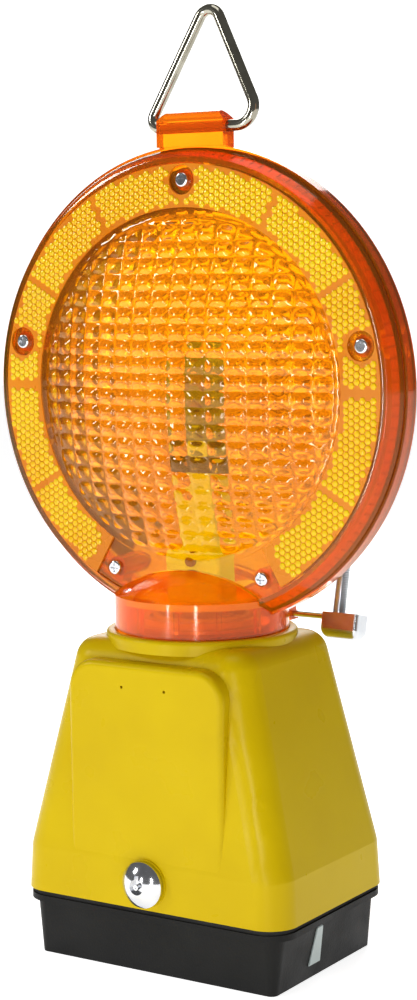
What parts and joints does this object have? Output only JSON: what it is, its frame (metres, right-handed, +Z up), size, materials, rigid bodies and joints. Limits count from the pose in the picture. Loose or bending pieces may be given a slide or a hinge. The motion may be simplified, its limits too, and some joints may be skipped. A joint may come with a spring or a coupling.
{
  "type": "barricade warning light",
  "caption": "Battery warning light: tapered housing on a tray, a turning two-sided round lens head, a wire hanger above and a swinging stud behind.",
  "frame": {"origin": "centre of the base tray's underside", "axes": "+Z up, the front lens and the lock face -Y, +X to the right of a viewer in front"},
  "size_m": [0.19, 0.1056, 0.3788],
  "materials": {
    "yellow_plastic": "satin moulded",
    "black_plastic": "moulded, slightly glossy",
    "grey_plastic": "moulded",
    "rubber_seal": "matt",
    "foam": "matt foam",
    "bright_steel": "polished plate",
    "hanger_steel": "nickel plated wire",
    "zinc_steel": "zinc plated",
    "battery_jacket": "printed jacket without lettering",
    "battery_top": "moulded",
    "spring_steel": "nickel plated",
    "white_plastic": "moulded",
    "switch_plastic": "moulded",
    "contact_brass": "plain",
    "strip_screw_steel": "zinc plated",
    "circuit_board": "green solder mask",
    "board_components": "moulded",
    "led_lens": "clear domed",
    "sensor": "clear over a dark cell",
    "amber_body": "clear amber, polished",
    "amber_lens": "clear amber, pillowed",
    "amber_beads": "amber with a bead pattern"
  },
  "bodies": {
    "housing": {"housing": "yellow_plastic", "base_tray": "black_plastic", "side_catch": "grey_plastic", "tray_gasket": "rubber_seal", "lock_washer": "bright_steel", "battery_pad": "foam", "battery_case": "battery_jacket", "battery_cap": "battery_top", "terminal_springs": "spring_steel", "contact_carrier": "white_plastic", "contact_pins": "contact_brass", "negative_strip": "contact_brass", "positive_strip": "contact_brass", "strip_screws": "strip_screw_steel", "mode_switch": "switch_plastic", "neck_seal": "rubber_seal", "retaining_ring": "zinc_steel"},
    "lock": {"lock_bolt": "bright_steel", "lock_cam": "zinc_steel", "lock_nut": "zinc_steel"},
    "slider": {"switch_slider": "switch_plastic"},
    "head": {"head_body": "amber_body", "front_lens": "amber_lens", "rear_lens": "amber_lens", "front_bead_ring": "amber_beads", "rear_bead_ring": "amber_beads", "front_lens_seal": "rubber_seal", "rear_lens_seal": "rubber_seal", "front_lens_screws": "bright_steel", "rear_lens_screws": "bright_steel", "lamp_post": "white_plastic", "lamp_board": "circuit_board", "leds": "led_lens", "led_clip": "switch_plastic", "board_parts": "board_components", "light_sensor": "sensor", "contact_disc": "circuit_board", "contact_tracks": "contact_brass", "disc_screws": "zinc_steel"},
    "hanger": {"hanger": "hanger_steel"},
    "clamp": {"clamp_arm": "zinc_steel", "clamp_stud": "zinc_steel", "axle_clip": "zinc_steel"}
  },
  "joints": [
    {"name": "head_turn", "type": "hinge", "parent": "housing", "child": "head", "pos_m": [0, 0, 0.134], "axis": [0, 0, 1], "range_deg": [-90, 90]},
    {"name": "lock_turn", "type": "hinge", "parent": "housing", "child": "lock", "pos_m": [0, -0.0385, 0.0375], "axis": [0, 1, 0], "range_deg": [0, 90]},
    {"name": "mode_slide", "type": "slide", "parent": "housing", "child": "slider", "axis": [1, 0, 0], "range_m": [0, 0.008]},
    {"name": "hanger_swing", "type": "hinge", "parent": "head", "child": "hanger", "pos_m": [0, -0.001, 0.331], "axis": [1, 0, 0], "range_deg": [-112, 128]},
    {"name": "clamp_swing", "type": "hinge", "parent": "head", "child": "clamp", "pos_m": [0, 0.0416, 0.1335], "axis": [1, 0, 0], "range_deg": [-77, 25]}
  ]
}
